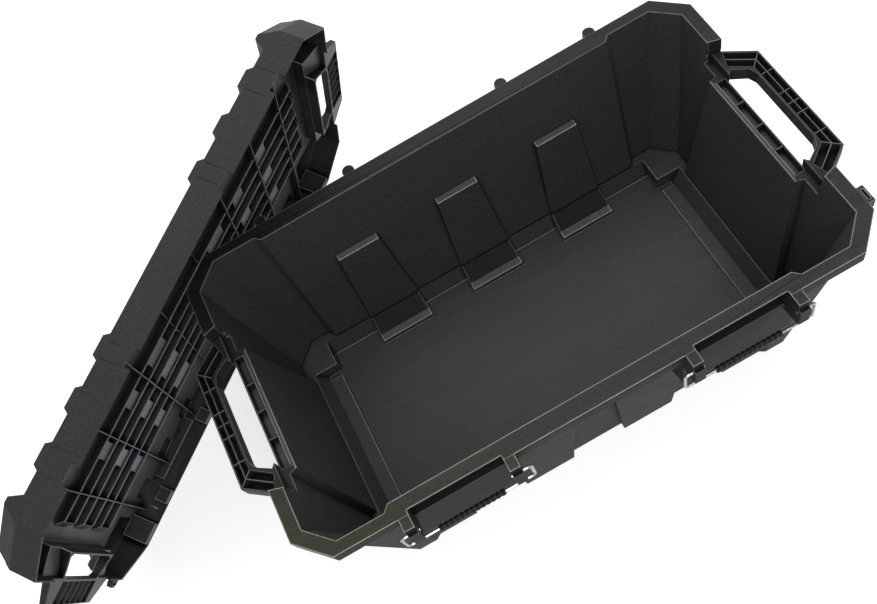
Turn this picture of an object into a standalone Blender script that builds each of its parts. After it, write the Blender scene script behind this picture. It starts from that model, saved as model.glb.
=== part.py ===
"""A long plastic storage box with its lid taken off and leaning beside it.

Units are metres and Z is up. The origin is the middle of the tub's underside.
X runs along the box, and the front, with the two wire latches, faces -Y.
"""

import math

import bmesh
import bpy
from mathutils import Matrix, Vector

# Tub, overall
TUB_HEIGHT = 0.325
FLOOR_TOP = 0.0265
FLOOR_THICKNESS = 0.003
FOOT_WIDTH = 0.006
FOOT_RIB = 0.003
FOOT_PITCH = 0.104
CENTRE_PAD_RADIUS = 0.022

# Tub, inside of the walls at the rim, and how far they lean in per metre of depth
INNER_HALF_LENGTH = 0.370
INNER_HALF_WIDTH = 0.213
INNER_CHAMFER = 0.032
CORNER_DRAFT = 0.115
MIDDLE_INSET = 0.008
MIDDLE_DRAFT = 0.133
MIDDLE_PAST_POST = 0.003
MIDDLE_JOG = 0.008
END_PANEL_INSET = 0.0105
END_PANEL_HALF_WIDTH = 0.0895
END_PANEL_FLARE = 0.09
END_PANEL_DRAFT = 0.117
END_PANEL_JOG = 0.003
WALL = 0.003
OUTER_MIDDLE_DRAFT = 0.106

# Tub, foot of the inside
KICK_TOP = 0.055
KICK_FROM_END = 0.045
KICK_FROM_SIDE = 0.0445
KICK_RUN_END = 0.0155
KICK_RUN_SIDE = 0.0125
PAD_LENGTH = 0.0385
PAD_WIDTH = 0.0425
STRIP_HEIGHT = 0.003
STRIP_LENGTH = 0.035
STRIP_FROM_PAD = 0.008

# Rim flange with its turned-down lip
FLANGE_OVERHANG = 0.0185
FLANGE_SIDE_OVERHANG = 0.016
FLANGE_CHAMFER = 0.040
RIM_THICKNESS = 0.003
LIP_DEPTH = 0.022
LIP_WALL = 0.0025

# Columns pressed into the long walls
COLUMN_PITCH = 0.163
COLUMN_DEPTH = 0.104
COLUMN_REACH = 0.010
COLUMN_DRAFT = 0.09
COLUMN_HALF_WIDTH = 0.0325
COLUMN_FLARE = 0.058
COLUMN_FOOT_REACH = 0.037
COLUMN_FOOT_STEP = 0.012
COLUMN_FOOT_RISE = 0.0085
COLUMN_TOE_SPREAD = 0.002

# End handles
HANDLE_DROP = 0.024
HANDLE_HEIGHT = 0.021
HANDLE_REACH = 0.0553
HANDLE_ROOT_HALF = 0.1155
HANDLE_TIP_HALF = 0.0885
GAP_NEAR = 0.005
GAP_WIDTH = 0.029
GAP_NEAR_HALF = 0.087
GAP_FAR_HALF = 0.068
GAP_CORNER = 0.009
HANDLE_WALL = 0.002
HANDLE_INNER_WALL = 0.003
HANDLE_FLOOR = 0.003
HANDLE_RIBS = (-0.056, -0.020, -0.002, 0.017, 0.055)
HANDLE_RIB = 0.0012
HANDLE_LANES = 2
ARM_RIB_X = 0.380
ROOT_DROP = 0.055
END_LIP_DROP = 0.0387
END_NOTCH_HALF = 0.1225
NOTCH_WALL = 0.003
CHANNEL_WIDTH = 0.012
CHANNEL_RIBS = (-0.042, 0.0, 0.042)
LIP_CLEARANCE = 0.001

# Tie loop on the right end, beside the front corner
LOOP_REACH = 0.009
LOOP_NEAR = -0.180
LOOP_FAR = -0.155
LOOP_HEIGHT = 0.016
LOOP_SLOT_WIDTH = 0.0032
LOOP_SLOT_MARGIN = 0.005

# Front latches: posts on the tub, wire bail, sleeve grip
LATCH_X = 0.188
POST_OFFSET = 0.069
POST_WIDTH = 0.014
POST_REACH = 0.016
POST_STEP = 0.005
BOSS_HALF_HEIGHT = 0.0075
BOSS_DEPTH = 0.024
POST_DEPTH = 0.055
FLANGE_CUT_BACK = 0.006
PANEL_TOP_DROP = 0.038
PANEL_FOOT_DROP = 0.112
PANEL_INSET = 0.007
PANEL_FLARE = 0.002
PANEL_FOOT_RUN = 0.020
PIVOT_SETBACK = 0.0015
PIVOT_DROP = 0.022
WIRE_RADIUS = 0.002
RUNNING_GAP = 0.0004
BAIL_SIDE_GAP = 0.008
BAIL_DROP = 0.038
BAIL_END_PAST = 0.0015
BAIL_BEND = 0.005
GRIP_LENGTH = 0.090
GRIP_RADIUS = 0.0037
GRIP_RING = 0.0006
GRIP_RINGS = 13

# Rear knuckles
KNUCKLE_OFFSET = 0.069
KNUCKLE_NECK = 0.0055
KNUCKLE_RADIUS = 0.009
KNUCKLE_REACH = 0.004
KNUCKLE_HEIGHT = 0.012
KNUCKLE_STEPS = 12
KNUCKLE_START = math.radians(200.0)
KNUCKLE_SWEEP = math.radians(220.0)

# Lid, modelled the right way up with its rim plane at z = 0
LID_CLEARANCE = 0.0005
LID_WALL = 0.0022
LID_HEIGHT = 0.042
LID_PLATE = 0.0025
LID_CHAMFER_X = 0.053
LID_CHAMFER_Y = 0.051
LID_DRAFT = 0.03
LID_SHOULDER = 0.034
LID_END_LEAN = 0.6
LID_RIB_DEPTH = 0.0065
LID_RIB = 0.0016
LID_REST_RIB = 0.043
LID_TALL_RIBS = (0.123, 0.209, 0.287)
LID_TALL_RIB_DEPTH = 0.0125
LID_LANES = (-0.076, 0.0, 0.076)
LID_LANE_WIDTH = 0.042
LID_LANE_WALL = 0.0025
LID_LANE_DEPTH = 0.0105
LID_LANE_SLOPE = 0.010
LID_LANE_END = 0.056
LID_BLOCKS = ((0.066, 0.106), (0.143, 0.168), (0.216, 0.240))
LID_BLOCK_DEPTH = 0.0075
LID_PADS = (0.121, 0.189, 0.259)
LID_PAD_LENGTH = 0.036
LID_PAD_WIDTH = 0.044
LID_PAD_HEIGHT = 0.009
LID_PAD_TAPER = 0.005
LID_CORNER_PAD_LENGTH = 0.086
LID_CORNER_PAD_HEIGHT = 0.016
LID_CORNER_PAD_WIDTH = 0.080
LID_HANDLE_DROP = 0.005
LID_HANDLE_HEIGHT = 0.019
LID_HANDLE_TIP_HEIGHT = 0.008
LID_HANDLE_RIB_PITCH = 0.022
LID_HANDLE_RIB_COUNT = 5
LID_GAP_SETBACK = 0.013
LID_GAP_REACH = 0.020
LID_GAP_WALL = 0.0025
LID_STEP_HALF = 0.1225
LID_STEP_DROP = 0.008
LID_STEP_WALL = 0.0025
LID_STEP_SETBACK = 0.0015

# Lid, cut-outs over the latch posts, grooves beside them and blocks inside the back edge
LID_NOTCHES = (0.121, 0.2675)
LID_NOTCH_WIDTH = 0.026
LID_NOTCH_DEPTH = 0.009
LID_GROOVES = (0.113, 0.135, 0.245, 0.279)
LID_GROOVE = 0.0018
LID_GROOVE_DEPTH = 0.0011
LID_GROOVE_LOW = 0.012
LID_STOPS = (0.119, 0.256)
LID_STOP_WIDTH = 0.022
LID_STOP_REACH = 0.014
LID_STOP_HEIGHT = 0.020
LID_CORNER_STOPS = (0.300, 0.334)
LID_LEDGE_REACH = 0.005
LID_LEDGE_LOW = 0.023
LID_LUG_REACH = 0.012
LID_LUG_NEAR = 0.137
LID_LUG_FAR = 0.163
LID_LUG_HEIGHT = 0.008
LID_LUG_CORNER = 0.006

# How the lid leans: heading of its length, tilt of its face, dip of its near end.
# The tub's cut corner touches one cross rib, a little past its own end point.
LID_HEADING = math.radians(39.0)
LID_TILT = math.radians(71.9)
LID_DIP = math.radians(1.9)
LEAN_GAP = 0.0003
LEAN_PAST_RIB = 0.012
GROUND_GAP = 0.0003

BLACK_PLASTIC = (0.030, 0.031, 0.032, 1.0)
LID_PLASTIC = (0.036, 0.037, 0.036, 1.0)
GRIP_PLASTIC = (0.012, 0.012, 0.013, 1.0)
STEEL = (0.62, 0.62, 0.61, 1.0)

JOIN = "UNION"
CUT = "DIFFERENCE"
SIDES = (-1.0, 1.0)
OVERRUN = 0.003
STEP_DOWN = 0.0005

# Sizes that follow from the ones above
FLANGE_HALF_LENGTH = INNER_HALF_LENGTH + FLANGE_OVERHANG
FLANGE_HALF_WIDTH = INNER_HALF_WIDTH + FLANGE_SIDE_OVERHANG
PIVOT_Y = -(FLANGE_HALF_WIDTH + POST_REACH - PIVOT_SETBACK)
PIVOT_Z = TUB_HEIGHT - PIVOT_DROP
HANDLE_TOP = TUB_HEIGHT - HANDLE_DROP
HANDLE_BOTTOM = HANDLE_TOP - HANDLE_HEIGHT
LIP_LEVEL = TUB_HEIGHT - END_LIP_DROP
HANDLE_TIP = INNER_HALF_LENGTH + HANDLE_REACH
MIDDLE_HALF_LENGTH = LATCH_X + POST_OFFSET + POST_WIDTH / 2.0 + MIDDLE_PAST_POST
KICK_HALF_LENGTH = INNER_HALF_LENGTH - KICK_FROM_END
KICK_HALF_WIDTH = INNER_HALF_WIDTH - KICK_FROM_SIDE
PAD_HALF_LENGTH = KICK_HALF_LENGTH - PAD_LENGTH
PAD_HALF_WIDTH = KICK_HALF_WIDTH - PAD_WIDTH
STRIP_HALF_WIDTH = PAD_HALF_WIDTH - STRIP_FROM_PAD
GAP_START = INNER_HALF_LENGTH + GAP_NEAR
GAP_END = GAP_START + GAP_WIDTH
LID_HALF_LENGTH = FLANGE_HALF_LENGTH + LID_CLEARANCE + LID_WALL
LID_HALF_WIDTH = FLANGE_HALF_WIDTH + LID_CLEARANCE + LID_WALL
LID_UNDER = LID_HEIGHT - LID_PLATE
LID_RIB_EDGE = LID_UNDER - LID_RIB_DEPTH
LID_LANE_EDGE = LID_UNDER - LID_LANE_DEPTH
LID_GAP_START = INNER_HALF_LENGTH - LID_GAP_SETBACK
LID_GAP_END = INNER_HALF_LENGTH + LID_GAP_REACH
LID_STEP_FLOOR = LID_HANDLE_DROP + LID_HANDLE_HEIGHT - STEP_DOWN
BAIL_HALF_WIDTH = POST_OFFSET + POST_WIDTH / 2.0 + WIRE_RADIUS + BAIL_SIDE_GAP
BAIL_INSIDE = POST_OFFSET - POST_WIDTH / 2.0 - BAIL_END_PAST


def clear_scene():
    for item in list(bpy.data.objects):
        bpy.data.objects.remove(item, do_unlink=True)


def new_collection(name):
    group = bpy.data.collections.new(name)
    bpy.context.scene.collection.children.link(group)
    return group


def make_material(name, colour, roughness, metallic):
    surface = bpy.data.materials.new(name)
    surface.use_nodes = True
    shader = surface.node_tree.nodes["Principled BSDF"]
    shader.inputs["Base Color"].default_value = colour
    shader.inputs["Roughness"].default_value = roughness
    shader.inputs["Metallic"].default_value = metallic
    return surface


def mesh_object(name, shape):
    """An object in the helpers' collection from a finished bmesh."""
    mesh = bpy.data.meshes.new(name)
    bmesh.ops.recalc_face_normals(shape, faces=shape.faces)
    shape.to_mesh(mesh)
    shape.free()
    item = bpy.data.objects.new(name, mesh)
    helpers.objects.link(item)
    item.hide_render = True
    item.display_type = "WIRE"
    return item


def curve_to_mesh(name, curve, matrix):
    """The welded mesh of a curve, moved by a matrix, with the curve removed."""
    holder = bpy.data.objects.new(name + "_curve", curve)
    helpers.objects.link(holder)
    graph = bpy.context.evaluated_depsgraph_get()
    mesh = bpy.data.meshes.new_from_object(holder.evaluated_get(graph))
    shape = bmesh.new()
    shape.from_mesh(mesh)
    bmesh.ops.remove_doubles(shape, verts=shape.verts, dist=0.000005)
    bmesh.ops.transform(shape, matrix=matrix, verts=shape.verts)
    bpy.data.objects.remove(holder, do_unlink=True)
    bpy.data.meshes.remove(mesh)
    return mesh_object(name, shape)


def plate(name, outline, bottom, top, matrix=None):
    """A flat outline given a thickness from bottom to top along Z."""
    curve = bpy.data.curves.new(name, "CURVE")
    curve.dimensions = "2D"
    curve.fill_mode = "BOTH"
    curve.extrude = (top - bottom) / 2.0
    spline = curve.splines.new("POLY")
    spline.points.add(len(outline) - 1)
    for point, (x, y) in zip(spline.points, outline):
        point.co = (x, y, 0.0, 1.0)
    spline.use_cyclic_u = True
    spline.use_smooth = False
    lift = Matrix.Translation((0.0, 0.0, (top + bottom) / 2.0))
    return curve_to_mesh(name, curve, (matrix or Matrix.Identity(4)) @ lift)


def slab_along_x(name, profile, start, end):
    """A (y, z) profile carried along X from start to end."""
    turn = Matrix(((0, 0, 1, 0), (1, 0, 0, 0), (0, 1, 0, 0), (0, 0, 0, 1)))
    return plate(name, profile, start, end, turn)


def boxes(name, spans):
    """Separate blocks, each from its low and high corner."""
    shape = bmesh.new()
    for low, high in spans:
        size = [b - a for a, b in zip(low, high)]
        middle = [(a + b) / 2.0 for a, b in zip(low, high)]
        matrix = Matrix.Translation(middle) @ Matrix.Diagonal((*size, 1.0))
        bmesh.ops.create_cube(shape, size=1.0, matrix=matrix)
    return mesh_object(name, shape)


def loft(name, sections):
    """A closed solid through outlines of equal count at rising heights."""
    shape = bmesh.new()
    rings = [[shape.verts.new((x, y, z)) for x, y in outline] for z, outline in sections]
    for lower, upper in zip(rings, rings[1:]):
        for i in range(len(lower)):
            j = (i + 1) % len(lower)
            shape.faces.new((lower[i], lower[j], upper[j], upper[i]))
    shape.faces.new(rings[0][::-1])
    shape.faces.new(rings[-1])
    return mesh_object(name, shape)


def merge(name, items):
    """Several separate solids as one helper object."""
    shape = bmesh.new()
    for item in items:
        shape.from_mesh(item.data)
        bpy.data.objects.remove(item, do_unlink=True)
    return mesh_object(name, shape)


def boolean(target, piece, operation):
    """Join or cut a helper, which then moves with the piece that it shapes."""
    piece.parent = target
    step = target.modifiers.new(piece.name, "BOOLEAN")
    step.operation = operation
    step.solver = "EXACT"
    step.object = piece


def keep(item, name, surface):
    """Move a finished helper into the object's own collection."""
    helpers.objects.unlink(item)
    product.objects.link(item)
    item.name = name
    item.data.name = name
    item.hide_render = False
    item.display_type = "TEXTURED"
    item.data.materials.append(surface)
    return item


def four_corners(quarter):
    """An outline in all four quarters from its run in the first."""
    back = [(-x, y) for x, y in reversed(quarter)]
    far = [(-x, -y) for x, y in quarter]
    front = [(x, -y) for x, y in reversed(quarter)]
    return quarter + back + far + front


def cut_corner_outline(half_length, half_width, cut_x, cut_y):
    return four_corners([(half_length, half_width - cut_y), (half_length - cut_x, half_width)])


def wall_outline(depth, grow, middle_draft):
    """The walls' plan at a depth below the rim, grown outwards by a wall."""
    corner_x = INNER_HALF_LENGTH - CORNER_DRAFT * depth + grow
    corner_y = INNER_HALF_WIDTH - CORNER_DRAFT * depth + grow
    middle_y = INNER_HALF_WIDTH - MIDDLE_INSET - middle_draft * depth + grow
    end_x = INNER_HALF_LENGTH - END_PANEL_INSET - END_PANEL_DRAFT * depth + grow
    end_y = END_PANEL_HALF_WIDTH + END_PANEL_FLARE * depth - grow
    return four_corners([
        (end_x, end_y),
        (corner_x, end_y + END_PANEL_JOG),
        (corner_x, corner_y - INNER_CHAMFER),
        (corner_x - INNER_CHAMFER, corner_y),
        (MIDDLE_HALF_LENGTH + MIDDLE_JOG, corner_y),
        (MIDDLE_HALF_LENGTH, middle_y),
    ])


def middle_wall(height):
    """Inside face of the middle of a long wall at a height."""
    return INNER_HALF_WIDTH - MIDDLE_INSET - MIDDLE_DRAFT * (TUB_HEIGHT - height)


def column_face(height):
    """Inside face of a column at a height."""
    top = TUB_HEIGHT - COLUMN_DEPTH
    return middle_wall(top) - COLUMN_REACH - COLUMN_DRAFT * (top - height)


def widen_downwards(item, centres, half_width, flare, top):
    """Spread each body's sides about its centre below a height."""
    for vertex in item.data.vertices:
        centre = min(centres, key=lambda c: abs(vertex.co.x - c))
        drop = max(0.0, top - vertex.co.z)
        side = 1.0 if vertex.co.x > centre else -1.0
        vertex.co.x = centre + side * (half_width + flare * drop)


def columns():
    """The pressed-in columns with their stepped feet, for both long walls."""
    top = TUB_HEIGHT - COLUMN_DEPTH
    toe = column_face(KICK_TOP) - COLUMN_FOOT_REACH + COLUMN_FOOT_STEP
    step_top = FLOOR_TOP + COLUMN_FOOT_RISE
    outside = INNER_HALF_WIDTH + OVERRUN
    profile = [
        (outside, top),
        (column_face(top), top),
        (column_face(KICK_TOP), KICK_TOP),
        (toe, step_top),
        (toe - COLUMN_FOOT_STEP, step_top),
        (toe - COLUMN_FOOT_STEP - COLUMN_TOE_SPREAD, FLOOR_TOP - OVERRUN),
        (outside, FLOOR_TOP - OVERRUN),
    ]
    centres = (-COLUMN_PITCH, 0.0, COLUMN_PITCH)
    items = []
    for side in SIDES:
        run = [(side * y, z) for y, z in profile]
        for centre in centres:
            item = slab_along_x("column", run, centre - COLUMN_HALF_WIDTH, centre + COLUMN_HALF_WIDTH)
            items.append(item)
    merged = merge("columns", items)
    widen_downwards(merged, centres, COLUMN_HALF_WIDTH, COLUMN_FLARE, top)
    return merged


def column_grooves():
    """The same columns seen from outside, a wall thickness behind their faces."""
    top = TUB_HEIGHT - COLUMN_DEPTH - WALL
    outside = INNER_HALF_WIDTH + FLANGE_SIDE_OVERHANG
    profile = [
        (outside, top),
        (column_face(top) + WALL, top),
        (column_face(0.0) + WALL, -OVERRUN),
        (outside, -OVERRUN),
    ]
    half = COLUMN_HALF_WIDTH - WALL
    centres = (-COLUMN_PITCH, 0.0, COLUMN_PITCH)
    items = []
    for side in SIDES:
        run = [(side * y, z) for y, z in profile]
        for centre in centres:
            items.append(slab_along_x("groove", run, centre - half, centre + half))
    merged = merge("column_grooves", items)
    widen_downwards(merged, centres, half, COLUMN_FLARE, top)
    return merged


def cavity():
    """The room inside the tub, with the columns and corner pads left out of it."""
    rise = OVERRUN
    upper = loft("cavity", [
        (KICK_TOP, wall_outline(TUB_HEIGHT - KICK_TOP, 0.0, MIDDLE_DRAFT)),
        (TUB_HEIGHT + rise, wall_outline(-rise, 0.0, MIDDLE_DRAFT)),
    ])

    def kick(inset_x, inset_y):
        x = KICK_HALF_LENGTH - inset_x
        y = KICK_HALF_WIDTH - inset_y
        return four_corners([
            (x, PAD_HALF_WIDTH), (PAD_HALF_LENGTH, PAD_HALF_WIDTH), (PAD_HALF_LENGTH, y),
        ])

    lower = loft("kick_room", [
        (FLOOR_TOP, kick(KICK_RUN_END, KICK_RUN_SIDE)),
        (KICK_TOP, kick(0.0, 0.0)),
        (KICK_TOP + rise / 2.0, kick(0.0, 0.0)),
    ])
    boolean(upper, lower, JOIN)
    boolean(upper, columns(), CUT)
    return upper


def underside():
    """Pockets under the floor, leaving a foot, a grid of ribs and a centre pad."""
    end_x = INNER_HALF_LENGTH - CORNER_DRAFT * TUB_HEIGHT - FOOT_WIDTH
    end_y = column_face(0.0) - FOOT_WIDTH
    ceiling = FLOOR_TOP - FLOOR_THICKNESS
    count = int(end_x / FOOT_PITCH)
    edges = [-end_x] + [FOOT_PITCH * k for k in range(-count, count + 1)] + [end_x]
    spans = []
    for left, right in zip(edges, edges[1:]):
        low_x = left + (FOOT_RIB / 2.0 if left > -end_x else 0.0)
        high_x = right - (FOOT_RIB / 2.0 if right < end_x else 0.0)
        if high_x - low_x < FOOT_RIB:
            continue
        for low_y, high_y in ((-end_y, -FOOT_RIB / 2.0), (FOOT_RIB / 2.0, end_y)):
            spans.append(((low_x, low_y, -OVERRUN), (high_x, high_y, ceiling)))
    pockets = boxes("underside", spans)
    shape = bmesh.new()
    bmesh.ops.create_cone(shape, cap_ends=True, segments=24, radius1=CENTRE_PAD_RADIUS,
                          radius2=CENTRE_PAD_RADIUS, depth=2.0 * TUB_HEIGHT)
    boolean(pockets, mesh_object("centre_pad", shape), CUT)
    return pockets


def handle_outline(root):
    """Plan of one end handle on the +X side, from a root inside the wall."""
    half = [
        (root, END_NOTCH_HALF - STEP_DOWN),
        (INNER_HALF_LENGTH, END_NOTCH_HALF - STEP_DOWN),
        (FLANGE_HALF_LENGTH, HANDLE_ROOT_HALF),
        (HANDLE_TIP, HANDLE_TIP_HALF),
    ]
    return [(x, -y) for x, y in half] + half[::-1]


def gap_outline(start, end):
    """Plan of a finger gap from one distance out to another, with its corners cut."""
    slope = (GAP_NEAR_HALF - GAP_FAR_HALF) / (end - start)
    half = [
        (start, GAP_NEAR_HALF - GAP_CORNER),
        (start + GAP_CORNER / 2.0, GAP_NEAR_HALF - slope * GAP_CORNER / 2.0),
        (end - GAP_CORNER / 2.0, GAP_FAR_HALF + slope * GAP_CORNER / 2.0),
        (end, GAP_FAR_HALF - GAP_CORNER),
    ]
    return [(x, -y) for x, y in half] + half[::-1]


def turned(outline, side):
    """An outline on the +X side, or turned half round to the other end."""
    return [(side * x, side * y) for x, y in outline]


def lane_line(share):
    """Root and bend of a line along a handle, from its gap (0) to its outer edge (1)."""
    near_x = GAP_START + GAP_CORNER / 2.0
    root_x = near_x + share * (FLANGE_HALF_LENGTH - near_x)
    root_y = GAP_NEAR_HALF + share * (HANDLE_ROOT_HALF - GAP_NEAR_HALF)
    bend_x = GAP_END + share * (HANDLE_TIP - GAP_END)
    bend_y = GAP_FAR_HALF + share * (HANDLE_TIP_HALF - GAP_FAR_HALF)
    return (root_x, root_y), (bend_x, bend_y)


def handle_lanes(bottom, top, side):
    """Pockets that follow a handle round, between its walls and the rib along it."""
    width = HANDLE_TIP - GAP_END
    first = HANDLE_INNER_WALL / width
    last = 1.0 - HANDLE_WALL / width
    rib = HANDLE_RIB / width
    step = (last - first + rib) / HANDLE_LANES
    lanes = []
    for k in range(HANDLE_LANES):
        inner = lane_line(first + k * step)
        outer = lane_line(first + (k + 1) * step - rib)
        half = [inner[0], inner[1]]
        back = [outer[1], outer[0]]
        outline = half + [(x, -y) for x, y in reversed(half)] + [(x, -y) for x, y in reversed(back)] + back
        lanes.append(plate("lane", turned(outline, side), bottom, top))
    merged = merge("handle_lanes", lanes)
    thin = HANDLE_RIB / 2.0
    spans = []
    for y in HANDLE_RIBS:
        spans.append(((GAP_END, y - thin, bottom - OVERRUN), (HANDLE_TIP, y + thin, top + OVERRUN)))
    for hand in SIDES:
        ys = sorted((hand * GAP_FAR_HALF, hand * HANDLE_ROOT_HALF))
        spans.append(((ARM_RIB_X - thin, ys[0], bottom - OVERRUN), (ARM_RIB_X + thin, ys[1], top + OVERRUN)))
    boolean(merged, boxes("lane_ribs", mirrored_spans(spans, side)), CUT)
    return merged


def mirrored_spans(spans, side):
    """Block corners turned half round to the other end where side is -1."""
    result = []
    for low, high in spans:
        xs = sorted((side * low[0], side * high[0]))
        ys = sorted((side * low[1], side * high[1]))
        result.append(((xs[0], ys[0], low[2]), (xs[1], ys[1], high[2])))
    return result


def tub_ends(tub):
    """Cut the rim away at both ends and add the open-topped handles."""
    high = TUB_HEIGHT + OVERRUN
    wall_inside = INNER_HALF_LENGTH - END_PANEL_INSET - END_PANEL_DRAFT * ROOT_DROP
    root = wall_inside + WALL / 2.0
    channel_end = GAP_START - HANDLE_WALL
    channel_start = channel_end - CHANNEL_WIDTH
    root_half = GAP_NEAR_HALF + WALL
    lip_half = END_NOTCH_HALF - LIP_CLEARANCE
    caps = []
    clear = []
    bodies = []
    roots = []
    gaps = []
    lanes = []
    channels = []
    for side in SIDES:
        notch = [
            (wall_inside - WALL, -END_NOTCH_HALF), (INNER_HALF_LENGTH, -END_NOTCH_HALF),
            (FLANGE_HALF_LENGTH + OVERRUN, -HANDLE_ROOT_HALF - STEP_DOWN),
            (FLANGE_HALF_LENGTH + OVERRUN, HANDLE_ROOT_HALF + STEP_DOWN),
            (INNER_HALF_LENGTH, END_NOTCH_HALF), (wall_inside - WALL, END_NOTCH_HALF),
        ]
        clear.append(plate("notch", turned(notch, side), LIP_LEVEL, high))
        half = [
            (INNER_HALF_LENGTH - WALL, END_NOTCH_HALF + NOTCH_WALL),
            (INNER_HALF_LENGTH, END_NOTCH_HALF + NOTCH_WALL),
            (FLANGE_HALF_LENGTH - STEP_DOWN, HANDLE_ROOT_HALF + NOTCH_WALL),
        ]
        cap = [(x, -y) for x, y in half] + half[::-1]
        cap_top = TUB_HEIGHT - RIM_THICKNESS / 2.0
        caps.append(plate("cap", turned(cap, side), HANDLE_BOTTOM + STEP_DOWN, cap_top))
        bodies.append(plate("handle", turned(handle_outline(root), side), HANDLE_BOTTOM, HANDLE_TOP))
        block = [(root, -root_half), (GAP_START, -root_half), (GAP_START, root_half), (root, root_half)]
        roots.append(plate("root", turned(block, side), TUB_HEIGHT - ROOT_DROP, HANDLE_BOTTOM + OVERRUN))
        gap = turned(gap_outline(GAP_START, GAP_END), side)
        gaps.append(plate("gap", gap, HANDLE_BOTTOM - OVERRUN, high))
        lanes.append(handle_lanes(HANDLE_BOTTOM + HANDLE_FLOOR, HANDLE_TOP + OVERRUN, side))
        spans = [((wall_inside - WALL, -lip_half, LIP_LEVEL), (GAP_START, lip_half, high))]
        channels += mirrored_spans(spans, side)
    boolean(tub, merge("notch_walls", caps), JOIN)
    boolean(tub, merge("end_notches", clear), CUT)
    boolean(tub, merge("handles", bodies), JOIN)
    boolean(tub, merge("handle_roots", roots), JOIN)
    boolean(tub, merge("finger_gaps", gaps), CUT)
    for pockets in lanes:
        boolean(tub, pockets, CUT)
    boolean(tub, boxes("lip_clearance", channels), CUT)
    boolean(tub, boxes("end_channels", channel_spans(channel_start, channel_end)), CUT)


def channel_spans(start, end):
    """The trough between each end wall and its finger gap, broken by short ribs."""
    last = GAP_NEAR_HALF - LIP_CLEARANCE
    stops = [-last] + list(CHANNEL_RIBS) + [last]
    floor = TUB_HEIGHT - ROOT_DROP + HANDLE_FLOOR
    half_rib = HANDLE_WALL / 2.0
    spans = []
    for low, high in zip(stops, stops[1:]):
        spans.append(((start, low + half_rib, floor), (end, high - half_rib, LIP_LEVEL + OVERRUN)))
    return mirrored_spans(spans, -1.0) + spans


def latch_posts():
    """The pairs of posts at the front, each with a stepped boss for the wire."""
    edge = FLANGE_HALF_WIDTH + POST_REACH
    wall = INNER_HALF_WIDTH - MIDDLE_INSET
    top = TUB_HEIGHT - STEP_DOWN
    profile = [
        (-wall, top),
        (-edge, top),
        (-edge, PIVOT_Z + BOSS_HALF_HEIGHT),
        (-edge - POST_STEP, PIVOT_Z + BOSS_HALF_HEIGHT),
        (-edge - POST_STEP, PIVOT_Z - BOSS_DEPTH),
        (-edge + POST_STEP, PIVOT_Z - BOSS_DEPTH - POST_STEP),
        (-wall, top - POST_DEPTH),
    ]
    items = []
    for centre in (-LATCH_X, LATCH_X):
        for hand in SIDES:
            middle = centre + hand * POST_OFFSET
            half = POST_WIDTH / 2.0
            items.append(slab_along_x("post", profile, middle - half, middle + half))
    return merge("latch_posts", items)


def latch_panels():
    """The blocks behind the bails, standing out from the front wall."""
    face = FLANGE_HALF_WIDTH - PANEL_INSET
    wall = middle_wall(TUB_HEIGHT - PANEL_TOP_DROP)
    foot = TUB_HEIGHT - PANEL_FOOT_DROP
    low = foot - PANEL_FOOT_RUN
    profile = [
        (-wall, TUB_HEIGHT - PANEL_TOP_DROP),
        (-face, TUB_HEIGHT - PANEL_TOP_DROP),
        (-face - PANEL_FLARE, foot),
        (-middle_wall(low) - WALL / 2.0, low),
    ]
    reach = POST_OFFSET + POST_WIDTH / 2.0 - STEP_DOWN
    items = []
    for centre in (-LATCH_X, LATCH_X):
        items.append(slab_along_x("panel", profile, centre - reach, centre + reach))
    return merge("latch_panels", items)


def pivot_holes():
    """Holes along X through each pair of posts for the bail's ends."""
    shape = bmesh.new()
    reach = POST_OFFSET + POST_WIDTH
    for centre in (-LATCH_X, LATCH_X):
        matrix = Matrix.Translation((centre, PIVOT_Y, PIVOT_Z)) @ Matrix.Rotation(math.pi / 2.0, 4, "Y")
        bmesh.ops.create_cone(shape, cap_ends=True, segments=20, radius1=WIRE_RADIUS + RUNNING_GAP,
                              radius2=WIRE_RADIUS + RUNNING_GAP, depth=2.0 * reach, matrix=matrix)
    return mesh_object("pivot_holes", shape)


def rear_knuckles():
    """Round-headed catches along the back of the rim, each on a short neck."""
    centre_y = FLANGE_HALF_WIDTH + KNUCKLE_REACH
    items = []
    for centre in (-LATCH_X, LATCH_X):
        for hand in SIDES:
            x = centre + hand * KNUCKLE_OFFSET
            outline = [(x - KNUCKLE_NECK, FLANGE_HALF_WIDTH - OVERRUN)]
            for k in range(KNUCKLE_STEPS + 1):
                angle = KNUCKLE_START - KNUCKLE_SWEEP * k / KNUCKLE_STEPS
                along = x + KNUCKLE_RADIUS * math.cos(angle)
                outline.append((along, centre_y + KNUCKLE_RADIUS * math.sin(angle)))
            outline.append((x + KNUCKLE_NECK, FLANGE_HALF_WIDTH - OVERRUN))
            top = TUB_HEIGHT - STEP_DOWN
            items.append(plate("knuckle", outline, TUB_HEIGHT - KNUCKLE_HEIGHT, top))
    return merge("rear_knuckles", items)


def tie_loop():
    """The small flat ear with a slot on the right end of the rim."""
    low = TUB_HEIGHT - LOOP_HEIGHT
    inner = FLANGE_HALF_LENGTH - LIP_WALL
    outer = FLANGE_HALF_LENGTH + LOOP_REACH
    top = TUB_HEIGHT - STEP_DOWN
    return boxes("tie_loop", [((inner, LOOP_NEAR, low), (outer, LOOP_FAR, top))])


def tie_slot():
    middle = FLANGE_HALF_LENGTH + LOOP_REACH * 0.5
    half = LOOP_SLOT_WIDTH / 2.0
    low = (middle - half, LOOP_NEAR + LOOP_SLOT_MARGIN, TUB_HEIGHT - LOOP_HEIGHT - OVERRUN)
    high = (middle + half, LOOP_FAR - LOOP_SLOT_MARGIN, TUB_HEIGHT + OVERRUN)
    return boxes("tie_slot", [(low, high)])


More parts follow.
